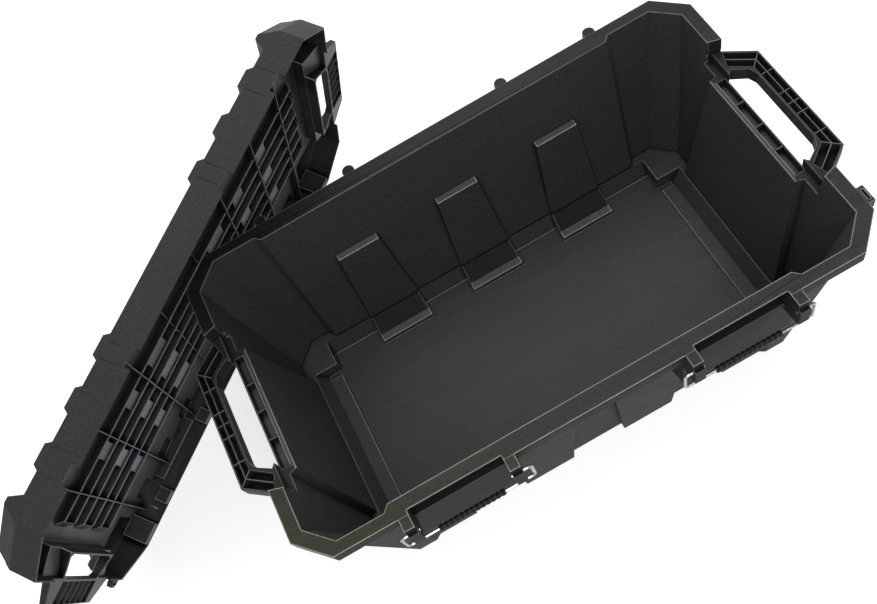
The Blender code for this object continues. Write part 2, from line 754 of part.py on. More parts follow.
def floor_strips():
    """Low raised strips across the floor beside each end."""
    reach = KICK_HALF_LENGTH - KICK_RUN_END / 2.0
    spans = []
    for side in SIDES:
        xs = sorted((side * (KICK_HALF_LENGTH - STRIP_LENGTH), side * reach))
        spans.append(((xs[0], -STRIP_HALF_WIDTH, FLOOR_TOP - FLOOR_THICKNESS / 2.0),
                      (xs[1], STRIP_HALF_WIDTH, FLOOR_TOP + STRIP_HEIGHT)))
    return boxes("floor_strips", spans)


def flange_cut_backs():
    """The rim stands back between each pair of latch posts."""
    reach = POST_OFFSET - POST_WIDTH / 2.0
    near = -(FLANGE_HALF_WIDTH - FLANGE_CUT_BACK)
    spans = []
    for centre in (-LATCH_X, LATCH_X):
        spans.append(((centre - reach, -FLANGE_HALF_WIDTH - OVERRUN, TUB_HEIGHT - LIP_DEPTH - OVERRUN),
                      (centre + reach, near, TUB_HEIGHT + OVERRUN)))
    return boxes("rim_cut_backs", spans)


def build_tub(surface):
    outline = cut_corner_outline(FLANGE_HALF_LENGTH, FLANGE_HALF_WIDTH, FLANGE_CHAMFER, FLANGE_CHAMFER)
    inset = cut_corner_outline(FLANGE_HALF_LENGTH - LIP_WALL, FLANGE_HALF_WIDTH - LIP_WALL,
                               FLANGE_CHAMFER, FLANGE_CHAMFER)
    tub = plate("tub", outline, TUB_HEIGHT - LIP_DEPTH, TUB_HEIGHT)
    hollow = plate("lip_hollow", inset, TUB_HEIGHT - LIP_DEPTH - OVERRUN, TUB_HEIGHT - RIM_THICKNESS)
    boolean(tub, hollow, CUT)
    walls = loft("outer_walls", [
        (0.0, wall_outline(TUB_HEIGHT, WALL, OUTER_MIDDLE_DRAFT)),
        (TUB_HEIGHT - RIM_THICKNESS / 2.0, wall_outline(RIM_THICKNESS / 2.0, WALL, OUTER_MIDDLE_DRAFT)),
    ])
    boolean(tub, walls, JOIN)
    boolean(tub, column_grooves(), CUT)
    boolean(tub, latch_panels(), JOIN)
    boolean(tub, flange_cut_backs(), CUT)
    boolean(tub, latch_posts(), JOIN)
    boolean(tub, rear_knuckles(), JOIN)
    boolean(tub, tie_loop(), JOIN)
    boolean(tub, tie_slot(), CUT)
    tub_ends(tub)
    boolean(tub, cavity(), CUT)
    boolean(tub, floor_strips(), JOIN)
    boolean(tub, underside(), CUT)
    boolean(tub, pivot_holes(), CUT)
    return keep(tub, "tub", surface)


def bend_points(corners, radius, steps):
    """A run of straight wires with each inner corner rounded."""
    points = [Vector(corners[0])]
    for before, corner, after in zip(corners, corners[1:], corners[2:]):
        corner = Vector(corner)
        start = (Vector(before) - corner).normalized()
        end = (Vector(after) - corner).normalized()
        centre = corner + (start + end) * radius
        for k in range(steps + 1):
            angle = math.pi / 2.0 * k / steps
            points.append(centre - end * radius * math.cos(angle) - start * radius * math.sin(angle))
    points.append(Vector(corners[-1]))
    return points


def build_wire(name, centre, surface):
    """A square bail of round wire whose ends turn inwards through the posts."""
    drop = (0.0, 0.0, -BAIL_DROP)
    corners = [
        (-BAIL_INSIDE, 0.0, 0.0), (-BAIL_HALF_WIDTH, 0.0, 0.0), (-BAIL_HALF_WIDTH, 0.0, drop[2]),
        (BAIL_HALF_WIDTH, 0.0, drop[2]), (BAIL_HALF_WIDTH, 0.0, 0.0), (BAIL_INSIDE, 0.0, 0.0),
    ]
    path = bend_points(corners, BAIL_BEND, 4)
    curve = bpy.data.curves.new(name, "CURVE")
    curve.dimensions = "3D"
    curve.bevel_depth = WIRE_RADIUS
    curve.bevel_resolution = 2
    curve.use_fill_caps = True
    spline = curve.splines.new("POLY")
    spline.points.add(len(path) - 1)
    for point, place in zip(spline.points, path):
        point.co = (*place, 1.0)
    wire = curve_to_mesh(name, curve, Matrix.Identity(4))
    wire.location = (centre, PIVOT_Y, PIVOT_Z)
    wire.data.shade_smooth()
    return keep(wire, name, surface)


def build_grip(name, wire, surface):
    """A ringed sleeve round the bail's straight run, turned about its own bore."""
    bore = WIRE_RADIUS + RUNNING_GAP
    half = GRIP_LENGTH / 2.0
    pitch = GRIP_LENGTH / GRIP_RINGS
    profile = [(bore, -half), (GRIP_RADIUS, -half)]
    for k in range(GRIP_RINGS):
        start = -half + pitch * k
        profile.append((GRIP_RADIUS, start + 0.2 * pitch))
        profile.append((GRIP_RADIUS + GRIP_RING, start + 0.35 * pitch))
        profile.append((GRIP_RADIUS + GRIP_RING, start + 0.65 * pitch))
        profile.append((GRIP_RADIUS, start + 0.8 * pitch))
    profile += [(GRIP_RADIUS, half), (bore, half)]
    shape = bmesh.new()
    points = [shape.verts.new((0.0, radius, along)) for radius, along in profile]
    for first, second in zip(points, points[1:] + points[:1]):
        shape.edges.new((first, second))
    bmesh.ops.rotate(shape, verts=shape.verts, matrix=Matrix.Rotation(math.pi / 2.0, 3, "Y"))
    mesh = bpy.data.meshes.new(name)
    shape.to_mesh(mesh)
    shape.free()
    grip = bpy.data.objects.new(name, mesh)
    helpers.objects.link(grip)
    turn = grip.modifiers.new("turn", "SCREW")
    turn.axis = "X"
    turn.angle = 2.0 * math.pi
    turn.steps = 16
    turn.render_steps = 16
    turn.use_merge_vertices = True
    turn.merge_threshold = 0.00001
    turn.use_normal_calculate = True
    grip.parent = wire
    grip.location = (0.0, 0.0, -BAIL_DROP)
    return keep(grip, name, surface)


def lid_outline(level, inset):
    """The lid's plan at a height, with its ends leaning in above the shoulder."""
    lean = LID_DRAFT * level + LID_END_LEAN * max(0.0, level - LID_SHOULDER)
    half_length = LID_HALF_LENGTH - lean - inset
    half_width = LID_HALF_WIDTH - LID_DRAFT * level - inset
    return cut_corner_outline(half_length, half_width, LID_CHAMFER_X, LID_CHAMFER_Y)


def lid_body(name, top, inset, bottom):
    levels = (bottom, LID_SHOULDER, top)
    return loft(name, [(level, lid_outline(level, inset)) for level in levels])


def pad_outline(centre, hand, edge, inset):
    half = LID_PAD_LENGTH / 2.0 - inset
    near = hand * (LID_HALF_WIDTH - LID_PAD_WIDTH + inset)
    far = hand * (edge - inset)
    return [(centre - half, near), (centre + half, near), (centre + half, far), (centre - half, far)]


def lid_pads(inset, low, high):
    """Raised blocks along both long edges, drawn in towards their tops."""
    edge = LID_HALF_WIDTH - LID_DRAFT * LID_HEIGHT - STEP_DOWN
    taper = LID_PAD_TAPER * (high - LID_HEIGHT) / LID_PAD_HEIGHT
    items = []
    for side in SIDES:
        for hand in SIDES:
            for centre in LID_PADS:
                sections = [(low, pad_outline(side * centre, hand, edge, inset)),
                            (LID_HEIGHT, pad_outline(side * centre, hand, edge, inset)),
                            (high, pad_outline(side * centre, hand, edge, inset + taper))]
                items.append(loft("pad", sections))
    return merge("lid_pads", items)


def corner_pad_outline(level, inset):
    """Plan of one corner block, which follows the lid's own cut corner."""
    outline = lid_outline(level, STEP_DOWN + inset)
    length, width = outline[0][0], outline[1][1]
    taper = LID_PAD_TAPER * max(0.0, level - LID_HEIGHT) / LID_PAD_HEIGHT
    start = LID_HALF_LENGTH - LID_CORNER_PAD_LENGTH + inset + taper
    near = width - LID_CORNER_PAD_WIDTH + 2.0 * inset + taper
    return [(start, near), (length, near), outline[0], outline[1], (start, width)]


def lid_corner_pads(inset, low, high):
    """Higher blocks over the four cut corners."""
    items = []
    for side in SIDES:
        for hand in SIDES:
            sections = []
            for level in (low, LID_HEIGHT, high):
                outline = corner_pad_outline(level, inset)
                sections.append((level, [(side * x, hand * y) for x, y in outline]))
            items.append(loft("pad", sections))
    return merge("lid_corner_pads", items)


def lid_ribs():
    """Cross ribs under the lid's top: two low ones in the middle and taller ones outside."""
    top = LID_UNDER + LID_PLATE / 2.0
    reach = LID_HALF_WIDTH - LID_WALL / 2.0 - LID_DRAFT * LID_HEIGHT
    half = LID_RIB / 2.0
    ribs = [(LID_REST_RIB, LID_RIB_EDGE)] + [(x, LID_UNDER - LID_TALL_RIB_DEPTH) for x in LID_TALL_RIBS]
    spans = []
    for side in SIDES:
        for centre, edge in ribs:
            middle = side * centre
            spans.append(((middle - half, -reach, edge), (middle + half, reach, top)))
    return boxes("lid_cross_ribs", spans)


def lid_lanes(inset, low, high):
    """Long trays under the top with sloping ends, or the rooms inside them."""
    half = LID_LANE_WIDTH / 2.0 - inset
    last = LID_HALF_LENGTH - LID_LANE_END - inset
    short = last - LID_LANE_SLOPE
    items = []
    for centre in LID_LANES:
        sections = []
        for level, reach in ((low, short), (high, last)):
            y = (centre - half, centre + half)
            sections.append((level, [(-reach, y[0]), (reach, y[0]), (reach, y[1]), (-reach, y[1])]))
        items.append(loft("lane", sections))
    return merge("lid_lanes", items)


def lid_blocks(low, high):
    """Raised floors in stretches of the trays."""
    half = LID_LANE_WIDTH / 2.0 - LID_LANE_WALL / 2.0
    spans = []
    for side in SIDES:
        for start, end in LID_BLOCKS:
            xs = sorted((side * start, side * end))
            for centre in LID_LANES:
                spans.append(((xs[0], centre - half, low), (xs[1], centre + half, high)))
    return boxes("lid_blocks", spans)


def lid_edge_notches():
    """Cut-outs in the front rim for the latch posts."""
    half = LID_NOTCH_WIDTH / 2.0
    spans = []
    for side in SIDES:
        for centre in LID_NOTCHES:
            middle = side * centre
            spans.append(((middle - half, -LID_HALF_WIDTH - OVERRUN, -OVERRUN),
                          (middle + half, -LID_HALF_WIDTH + LID_WALL + OVERRUN, LID_NOTCH_DEPTH)))
    return boxes("lid_edge_notches", spans)


def lid_grooves():
    """Shallow upright grooves in both long sides, beside the cut-outs."""
    half = LID_GROOVE / 2.0
    deep = LID_HALF_WIDTH - LID_GROOVE_DEPTH - LID_DRAFT * LID_GROOVE_LOW
    spans = []
    for side in SIDES:
        for hand in SIDES:
            ys = sorted((hand * deep, hand * (LID_HALF_WIDTH + OVERRUN)))
            for centre in LID_GROOVES:
                middle = side * centre
                spans.append(((middle - half, ys[0], LID_GROOVE_LOW),
                              (middle + half, ys[1], LID_HEIGHT - LID_PLATE)))
    return boxes("lid_grooves", spans)


def lid_stops():
    """Blocks inside the back edge, and the ledge above them."""
    wall = LID_HALF_WIDTH - LID_WALL / 2.0 - LID_DRAFT * LID_HEIGHT
    near = wall - LID_STOP_REACH
    half = LID_STOP_WIDTH / 2.0
    spans = []
    for side in SIDES:
        for centre in LID_STOPS:
            middle = side * centre
            spans.append(((middle - half, near, STEP_DOWN), (middle + half, wall, LID_STOP_HEIGHT)))
        xs = sorted((side * LID_CORNER_STOPS[0], side * LID_CORNER_STOPS[1]))
        spans.append(((xs[0], near, STEP_DOWN), (xs[1], wall, LID_UNDER + STEP_DOWN)))
        xs = sorted((side * (LID_NOTCHES[0] + LID_STOP_WIDTH / 2.0), side * (LID_STOPS[1] - LID_STOP_WIDTH)))
        spans.append(((xs[0], wall - LID_LEDGE_REACH, LID_LEDGE_LOW), (xs[1], wall, LID_UNDER + STEP_DOWN)))
    return boxes("lid_stops", spans)


def slope_handle(item):
    """Let a lid handle's top fall from the skirt to its tip."""
    fall = (LID_HANDLE_HEIGHT - LID_STEP_DROP - LID_HANDLE_TIP_HEIGHT) / (HANDLE_TIP - LID_HALF_LENGTH)
    for vertex in item.data.vertices:
        if vertex.co.z > LID_HANDLE_DROP + OVERRUN:
            vertex.co.z -= fall * max(0.0, abs(vertex.co.x) - LID_HALF_LENGTH)
    return item


def gap_half(distance):
    """Half the length of a lid's finger gap at a distance out."""
    share = (distance - LID_GAP_START) / (LID_GAP_END - LID_GAP_START)
    return GAP_NEAR_HALF + share * (GAP_FAR_HALF - GAP_NEAR_HALF)


def well_outline(level):
    """Plan of the walled shaft round a finger gap, ending in the skirt."""
    end = lid_outline(level, LID_WALL / 2.0)[0][0]
    start = LID_GAP_START - LID_GAP_WALL
    half = [(start, gap_half(start) + LID_GAP_WALL), (end, gap_half(end) + LID_GAP_WALL)]
    return [(x, -y) for x, y in half] + half[::-1]


def sink_outwards(item, high):
    """Let the upper corners below a level sink with the floor of the lid's end."""
    slope = LID_STEP_DROP / (LID_HALF_LENGTH - LID_GAP_START)
    for vertex in item.data.vertices:
        if LID_HANDLE_DROP + OVERRUN < vertex.co.z < high:
            vertex.co.z -= slope * max(0.0, abs(vertex.co.x) - LID_GAP_START)
    return item


def handle_wells():
    """Walls that line each finger gap up to the sunk end of the lid's top."""
    floor = LID_STEP_FLOOR - LID_STEP_WALL / 2.0
    items = []
    for side in SIDES:
        sections = [(level, turned(well_outline(level), side)) for level in (LID_HANDLE_DROP, floor)]
        items.append(sink_outwards(loft("well", sections), LID_SHOULDER))
    return merge("lid_handle_wells", items)


def end_steps():
    """Blocks between the handles' roots that the sunk ends of the top are cut from."""
    start = LID_GAP_START - LID_GAP_WALL - STEP_DOWN
    half = LID_STEP_HALF + LID_STEP_WALL
    items = []
    for side in SIDES:
        sections = []
        for level in (LID_STEP_FLOOR - LID_STEP_WALL, LID_SHOULDER, LID_UNDER + LID_PLATE / 2.0):
            end = lid_outline(level, LID_WALL / 2.0)[0][0]
            outline = [(start, -half), (end, -half), (end, half), (start, half)]
            sections.append((level, turned(outline, side)))
        items.append(sink_outwards(loft("step", sections), LID_SHOULDER - OVERRUN))
    return merge("lid_end_steps", items)


def end_step_cuts():
    """The rooms over the sunk ends, open at the top and outwards."""
    low = (LID_GAP_START + LID_STEP_SETBACK, -LID_STEP_HALF, LID_STEP_FLOOR)
    high = (HANDLE_TIP, LID_STEP_HALF, LID_HEIGHT + OVERRUN)
    spans = []
    for side in SIDES:
        spans += mirrored_spans([(low, high)], side)
    return sink_outwards(boxes("lid_end_step_cuts", spans), LID_SHOULDER)


def lid_lug():
    """A flat tab with a slot on one end of the rim, the mate of the tub's tie loop."""
    inner = LID_HALF_LENGTH - LID_WALL / 2.0 - STEP_DOWN
    outer = LID_HALF_LENGTH + LID_LUG_REACH
    cut = LID_LUG_CORNER
    outline = [
        (-inner, LID_LUG_NEAR), (-outer + cut, LID_LUG_NEAR), (-outer, LID_LUG_NEAR + cut),
        (-outer, LID_LUG_FAR - cut), (-outer + cut, LID_LUG_FAR), (-inner, LID_LUG_FAR),
    ]
    return plate("lid_lug", outline, STEP_DOWN, LID_LUG_HEIGHT)


def lid_lug_slot():
    middle = -LID_HALF_LENGTH - LID_LUG_REACH * 0.5
    half = LOOP_SLOT_WIDTH / 2.0
    low = (middle - half, LID_LUG_NEAR + LOOP_SLOT_MARGIN, -OVERRUN)
    high = (middle + half, LID_LUG_FAR - LOOP_SLOT_MARGIN, LID_LUG_HEIGHT + OVERRUN)
    return boxes("lid_lug_slot", [(low, high)])


def lid_handle_pockets(high):
    """Spans of the open pockets between the cross ribs under a lid handle."""
    near = LID_GAP_END + HANDLE_INNER_WALL
    far = HANDLE_TIP - HANDLE_WALL
    half = HANDLE_RIB / 2.0
    last = LID_HANDLE_RIB_COUNT // 2
    ribs = [k * LID_HANDLE_RIB_PITCH for k in range(-last, last + 1)]
    stops = [-GAP_FAR_HALF] + ribs + [GAP_FAR_HALF]
    spans = []
    for low, top in zip(stops, stops[1:]):
        spans.append(((near, low + half, LID_HANDLE_DROP - OVERRUN), (far, top - half, high)))
    return spans


def lid_handles():
    """Handles on the tub's plan, with the gap and the ribbed pockets cut from them."""
    low = LID_HANDLE_DROP
    root = LID_HALF_LENGTH - LID_WALL / 2.0
    half = [
        (root, HANDLE_ROOT_HALF),
        (LID_HALF_LENGTH, HANDLE_ROOT_HALF),
        (HANDLE_TIP, HANDLE_TIP_HALF),
    ]
    outline = [(x, -y) for x, y in half] + half[::-1]
    bodies = []
    gaps = []
    notches = []
    pockets = []
    for side in SIDES:
        body = plate("handle", turned(outline, side), low, low + LID_HANDLE_HEIGHT - LID_STEP_DROP)
        bodies.append(slope_handle(body))
        gap = turned(gap_outline(LID_GAP_START, LID_GAP_END), side)
        gaps.append(plate("gap", gap, low - OVERRUN, LID_HEIGHT + OVERRUN))
        spans = [((root - LID_WALL, -HANDLE_ROOT_HALF, -OVERRUN), (HANDLE_TIP, HANDLE_ROOT_HALF, low))]
        notches += mirrored_spans(spans, side)
        ceiling = low + LID_HANDLE_TIP_HEIGHT - HANDLE_FLOOR
        pockets += mirrored_spans(lid_handle_pockets(ceiling), side)
    return merge("lid_handles", bodies), merge("lid_gaps", gaps), boxes("lid_notches", notches), pockets


def lid_matrix():
    """Where the lid leans: on the ground and against the tub's back left corner."""
    turn = (Matrix.Rotation(LID_HEADING, 4, "Z") @ Matrix.Rotation(-LID_DIP, 4, "Y")
            @ Matrix.Rotation(-LID_TILT, 4, "X"))
    across = turn.to_3x3()
    along = across @ Vector((1.0, 0.0, 0.0))
    face = across @ Vector((0.0, 0.0, 1.0))
    corner = Vector((-(FLANGE_HALF_LENGTH - FLANGE_CHAMFER), FLANGE_HALF_WIDTH, TUB_HEIGHT))
    edge = Vector((-1.0, -1.0, 0.0)).normalized()
    contact = corner - edge * (LEAN_PAST_RIB / along.dot(edge))
    foot = Vector((-(LID_HALF_LENGTH - LID_CHAMFER_X), LID_HALF_WIDTH, 0.0))
    rows = Matrix((along, face, Vector((0.0, 0.0, 1.0))))
    wanted = Vector((
        along.dot(contact) - LID_REST_RIB,
        face.dot(contact) - (LID_RIB_EDGE - LEAN_GAP),
        GROUND_GAP - (across @ foot).z,
    ))
    return Matrix.Translation(rows.inverted() @ wanted) @ turn


def build_lid(surface):
    inner_top = LID_UNDER - OVERRUN
    pad_top = LID_HEIGHT + LID_PAD_HEIGHT
    corner_top = LID_HEIGHT + LID_CORNER_PAD_HEIGHT
    join_level = LID_UNDER + LID_PLATE / 2.0
    bodies, gaps, notches, pockets = lid_handles()
    shape = lid_body("lid", LID_HEIGHT, 0.0, 0.0)
    boolean(shape, lid_pads(0.0, join_level, pad_top), JOIN)
    boolean(shape, lid_corner_pads(0.0, join_level, corner_top), JOIN)
    boolean(shape, lid_body("lid_hollow", LID_UNDER, LID_WALL, -OVERRUN), CUT)
    boolean(shape, lid_pads(LID_WALL, inner_top, pad_top - LID_PLATE), CUT)
    boolean(shape, lid_corner_pads(LID_WALL, inner_top, corner_top - LID_PLATE), CUT)
    boolean(shape, notches, CUT)
    boolean(shape, end_steps(), JOIN)
    boolean(shape, end_step_cuts(), CUT)
    boolean(shape, bodies, JOIN)
    boolean(shape, handle_wells(), JOIN)
    boolean(shape, gaps, CUT)
    boolean(shape, boxes("lid_handle_pockets", pockets), CUT)
    boolean(shape, lid_lanes(0.0, LID_LANE_EDGE, join_level), JOIN)
    boolean(shape, lid_lanes(LID_LANE_WALL, LID_LANE_EDGE - OVERRUN, LID_UNDER), CUT)
    boolean(shape, lid_blocks(LID_UNDER - LID_BLOCK_DEPTH, join_level), JOIN)
    boolean(shape, lid_ribs(), JOIN)
    boolean(shape, lid_stops(), JOIN)
    boolean(shape, lid_lug(), JOIN)
    boolean(shape, lid_lug_slot(), CUT)
    boolean(shape, lid_edge_notches(), CUT)
    boolean(shape, lid_grooves(), CUT)
    lid = keep(shape, "lid", surface)
    bpy.context.view_layer.update()
    lid.matrix_world = lid_matrix()
    return lid


clear_scene()
product = new_collection("storage_box")
helpers = new_collection("cutters")

tub_surface = make_material("tub_plastic", BLACK_PLASTIC, 0.5, 0.0)
lid_surface = make_material("lid_plastic", LID_PLASTIC, 0.52, 0.0)
grip_surface = make_material("grip_plastic", GRIP_PLASTIC, 0.6, 0.0)
wire_surface = make_material("latch_steel", STEEL, 0.25, 1.0)

build_tub(tub_surface)
build_lid(lid_surface)
for label, middle in (("left", -LATCH_X), ("right", LATCH_X)):
    bail = build_wire("latch_wire_" + label, middle, wire_surface)
    build_grip("latch_grip_" + label, bail, grip_surface)
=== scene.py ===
"""Looks of the long storage box with its lid leaning beside it.

Units are metres and Z is up. The origin is the middle of the tub's underside, and the front, with the two
wire latches, faces -Y.
"""

import math

import bmesh
import bpy
from mathutils import Matrix, Vector
from mathutils.bvhtree import BVHTree


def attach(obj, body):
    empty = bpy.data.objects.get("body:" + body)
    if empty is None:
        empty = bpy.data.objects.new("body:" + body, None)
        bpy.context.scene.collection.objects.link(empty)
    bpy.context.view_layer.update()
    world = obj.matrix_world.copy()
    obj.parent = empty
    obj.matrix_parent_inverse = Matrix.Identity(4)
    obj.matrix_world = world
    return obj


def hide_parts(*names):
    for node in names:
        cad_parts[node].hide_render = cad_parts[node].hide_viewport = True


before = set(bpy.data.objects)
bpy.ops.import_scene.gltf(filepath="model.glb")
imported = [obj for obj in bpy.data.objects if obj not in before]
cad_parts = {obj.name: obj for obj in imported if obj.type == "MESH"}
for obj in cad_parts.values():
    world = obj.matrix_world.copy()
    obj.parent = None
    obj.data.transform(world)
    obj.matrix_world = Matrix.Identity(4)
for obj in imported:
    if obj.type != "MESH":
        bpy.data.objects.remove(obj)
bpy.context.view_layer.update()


def farthest(node, axis):
    """How far a solid reaches along an axis."""
    return max(vertex.co[axis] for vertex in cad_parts[node].data.vertices)


# Camera, as fitted to the photograph
CAMERA_PLACE = (-0.09621, -0.57131, 1.38556)
CAMERA_RIGHT = (0.86731564, -0.43864108, -0.23528193)
CAMERA_DOWN = (-0.49774372, -0.76793407, -0.40314817)
CAMERA_AHEAD = (-0.00384366, 0.46676682, -0.88437207)
CAMERA_LENS = 39.72
CAMERA_SENSOR = 36.0
CAMERA_REACH = 50.0

# Floor and world
FLOOR_REACH = 12.0
FLOOR_GREY = 0.8
FLOOR_ROUGHNESS = 0.9
FLOOR_GLOW = 0.62
WORLD_FILL = 0.38

# Tub, heights
RIM_TOP = farthest("tub", 2)
RIM_BAND = 0.0015
# Height of a painted shadow line under the rim's outer edge
RIM_SHADOW_LINE = RIM_TOP - 0.0045
UPPER_HALF = 0.2
COLUMN_FEET_TOP = 0.06
# Top of the kick band, with a painted shadow line round it
KICK_LINE = 0.0555
# Top of the floor, with a painted glint line along the foot of the walls
FLOOR_TOP = 0.0265
UNDERSIDE_TOP = 0.003
HEIGHT_SLACK = 0.002

# Tub, half lengths and half widths
OPENING_HALF_LENGTH = 0.3725
OPENING_HALF_WIDTH = 0.2215
END_RIM_START = 0.372
COLUMNS_HALF_LENGTH = 0.26
FEET_HALF_LENGTH = 0.3

# Tub, handles
HANDLE_START = 0.362
HANDLE_ROOT_HALF = 0.119
HANDLE_LOW = 0.275
HANDLE_HIGH = 0.31
HANDLE_GAP_END = 0.404
HANDLE_GAP_HALF = 0.068
HANDLE_TIP = farthest("tub", 0)
HANDLE_TIP_HALF = 0.0885
HANDLE_RIB = 0.0012
HANDLE_RIB_HEIGHT = 0.0170
HANDLE_RIB_MIDDLE = 0.2922
HANDLE_RIB_SHARE = 0.94
HANDLE_RIB_EDGE = 0.0002

# Lid, where it leans, and sizes in its own frame
LID_PLACE = (-0.38533852, 0.19196985, 0.23162649)
LID_HEADING = math.radians(39.0)
LID_DIP = math.radians(1.9)
LID_TILT = math.radians(71.9)
LID_HALF_LENGTH = 0.386
LID_HALF_WIDTH = 0.229
LID_CORNER_SUM = 0.5
LID_RIM = 0.002
LID_TRAY_LOW = 0.012
LID_TRAY_HIGH = 0.0335
LID_OUTSIDE = 0.0405
# Painted shadow of the upper skirt on the lid's underside: where it starts and ends across the lid, and its
# depth
LID_SHADE_START = -0.042
LID_SHADE_END = -0.062
LID_SHADE_DEPTH = 0.68

# Which way a face looks, as the height of its normal
LEVEL = 0.9
SLOPING = 0.6
UPRIGHT = 0.5
RIM_FACING = -0.2
LID_FACING = -0.3

# How far out a face on the lid's cut corners looks, as its normal times its place
CORNER_FACING = 0.05

# How far in front of a face its ray starts
RAY_START = 0.0005

# Edges: seams to merge, edges to round and the room that a rounding may take
SEAM_GAP = 0.00012
SEAM_ANGLE = math.radians(1.0)
EDGE_ANGLE = math.radians(25.0)
ROUNDING = 0.0005
ROUNDING_PER_ROOM = 0.4
ROOM_PER_LENGTH = 1.6

# Edges: how far the softened look and the wear with its painted highlight reach
SOFT_EDGE = 0.0022
WEAR_AND_HIGHLIGHT_REACH = 0.0016

# Painted shadow, shade and glint laid over the plastic's colour, and a warm tint
SHADOW = 0.1
CREASE_SHADOW = 0.08
SHADOW_LINE_HALF = 0.0014
GLINT_LINE_HALF = 0.0008
WARM_TINT = (1.25, 1.22, 0.92)


def lid_frame():
    """The turn and place of the leaning lid, whose own Z runs from its rim to its top."""
    turn = Matrix.Rotation(LID_HEADING, 4, "Z") @ Matrix.Rotation(-LID_DIP, 4, "Y")
    return Matrix.Translation(LID_PLACE) @ turn @ Matrix.Rotation(-LID_TILT, 4, "X")


# Nodes that the materials are made of


def new_material(name):
    surface = bpy.data.materials.new(name)
    surface.use_nodes = True
    tree = surface.node_tree
    return surface, tree, tree.nodes["Principled BSDF"]


def grey(value):
    return (value, value, value, 1.0)


def shade(colour, factor=1.0):
    """A colour as a node takes it, made darker or lighter by a factor."""
    return (colour[0] * factor, colour[1] * factor, colour[2] * factor, 1.0)


def feed(tree, values, sockets):
    """Link each value that comes from a node, and set each that is a number or a colour."""
    for value, socket in zip(values, sockets):
        if hasattr(value, "links"):
            tree.links.new(value, socket)
        else:
            socket.default_value = value


def object_place(tree):
    """The piece's own coordinates."""
    return tree.nodes.new("ShaderNodeTexCoord").outputs["Object"]


def turned_place(tree, turn, stretch):
    """The piece's own coordinates, turned and stretched for a pattern that has a direction."""
    mapping = tree.nodes.new("ShaderNodeMapping")
    mapping.inputs["Rotation"].default_value = turn
    mapping.inputs["Scale"].default_value = stretch
    tree.links.new(object_place(tree), mapping.inputs["Vector"])
    return mapping.outputs["Vector"]


def parts_of(tree, vector):
    """The X, Y and Z outputs of a vector."""
    node = tree.nodes.new("ShaderNodeSeparateXYZ")
    tree.links.new(vector, node.inputs[0])
    return node.outputs


def noise(tree, place, scale, detail=3.0, roughness=0.55):
    node = tree.nodes.new("ShaderNodeTexNoise")
    feed(tree, (place, scale, detail, roughness),
         [node.inputs[name] for name in ("Vector", "Scale", "Detail", "Roughness")])
    return node.outputs["Fac"]


def ramp(tree, factor, low, high, start=0.35, end=0.65):
    """A colour or grey that runs from low to high as the factor goes from start to end."""
    node = tree.nodes.new("ShaderNodeValToRGB")
    node.color_ramp.elements[0].position = start
    node.color_ramp.elements[1].position = end
    node.color_ramp.elements[0].color = low
    node.color_ramp.elements[1].color = high
    tree.links.new(factor, node.inputs["Fac"])
    return node.outputs["Color"]


def spread(tree, value, span, result):
    """The result's two ends as the value goes through the span, and what lies between them."""
    node = tree.nodes.new("ShaderNodeMapRange")
    feed(tree, (value, *span, *result),
         [node.inputs[name] for name in ("Value", "From Min", "From Max", "To Min", "To Max")])
    return node.outputs["Result"]


def mix(tree, factor, first, second, way="MIX"):
    node = tree.nodes.new("ShaderNodeMix")
    node.data_type = "RGBA"
    node.blend_type = way
    colours = [socket for socket in node.inputs if socket.type == "RGBA"]
    feed(tree, (factor, first, second), (node.inputs[0], *colours))
    return next(socket for socket in node.outputs if socket.type == "RGBA")


def arithmetic(tree, operation, first, second=0.0, third=0.0):
    node = tree.nodes.new("ShaderNodeMath")
    node.operation = operation
    feed(tree, (first, second, third), node.inputs)
    return node.outputs[0]


def bump(tree, height, strength, distance, normal=None):
    node = tree.nodes.new("ShaderNodeBump")
    node.inputs["Strength"].default_value = strength
    node.inputs["Distance"].default_value = distance
    tree.links.new(height, node.inputs["Height"])
    if normal is not None:
        tree.links.new(normal, node.inputs["Normal"])
    return node.outputs["Normal"]


# What time and moulding leave on the plastic, and the painted shade, shadow, highlight and glint laid over
# it


def soft_edges(tree):
    """Normals rounded near the edges."""
    rounding = tree.nodes.new("ShaderNodeBevel")
    rounding.samples = 6
    rounding.inputs["Radius"].default_value = SOFT_EDGE
    return rounding.outputs["Normal"]


def openness(tree, distance, inside=False):
    """1 away from edges, and less in inner corners, or along outer edges where it looks inside."""
    node = tree.nodes.new("ShaderNodeAmbientOcclusion")
    node.samples = 8
    node.only_local = True
    node.inside = inside
    node.inputs["Distance"].default_value = distance
    return node.outputs["AO"]


def clouded(tree, place, colour, clouding):
    """The colour, lighter and darker in large soft clouds."""
    clouds = noise(tree, place, scale=5.0)
    darker = shade(colour, 1.0 - clouding)
    lighter = shade(colour, 1.0 + clouding)
    return ramp(tree, clouds, darker, lighter, start=0.3, end=0.7)


def wiped(tree, tone, wear_and_highlight_colour, scuffs):
    """The colour with long pale marks, as a cloth or a load leaves them."""
    across = turned_place(tree, turn=(0.0, 0.0, 0.9), stretch=(5.0, 60.0, 20.0))
    marks = noise(tree, across, scale=1.0, detail=4.0, roughness=0.6)
    marks = ramp(tree, marks, grey(0.0), grey(scuffs), start=0.5, end=0.72)
    return mix(tree, marks, tone, shade(wear_and_highlight_colour, 0.6))


def speckled(tree, place, tone):
    """The colour with fine darker specks."""
    specks = noise(tree, place, scale=380.0, detail=2.0, roughness=0.7)
    specks = ramp(tree, specks, grey(0.32), grey(1.0), start=0.36, end=0.66)
    return mix(tree, 0.5, tone, specks, "MULTIPLY")


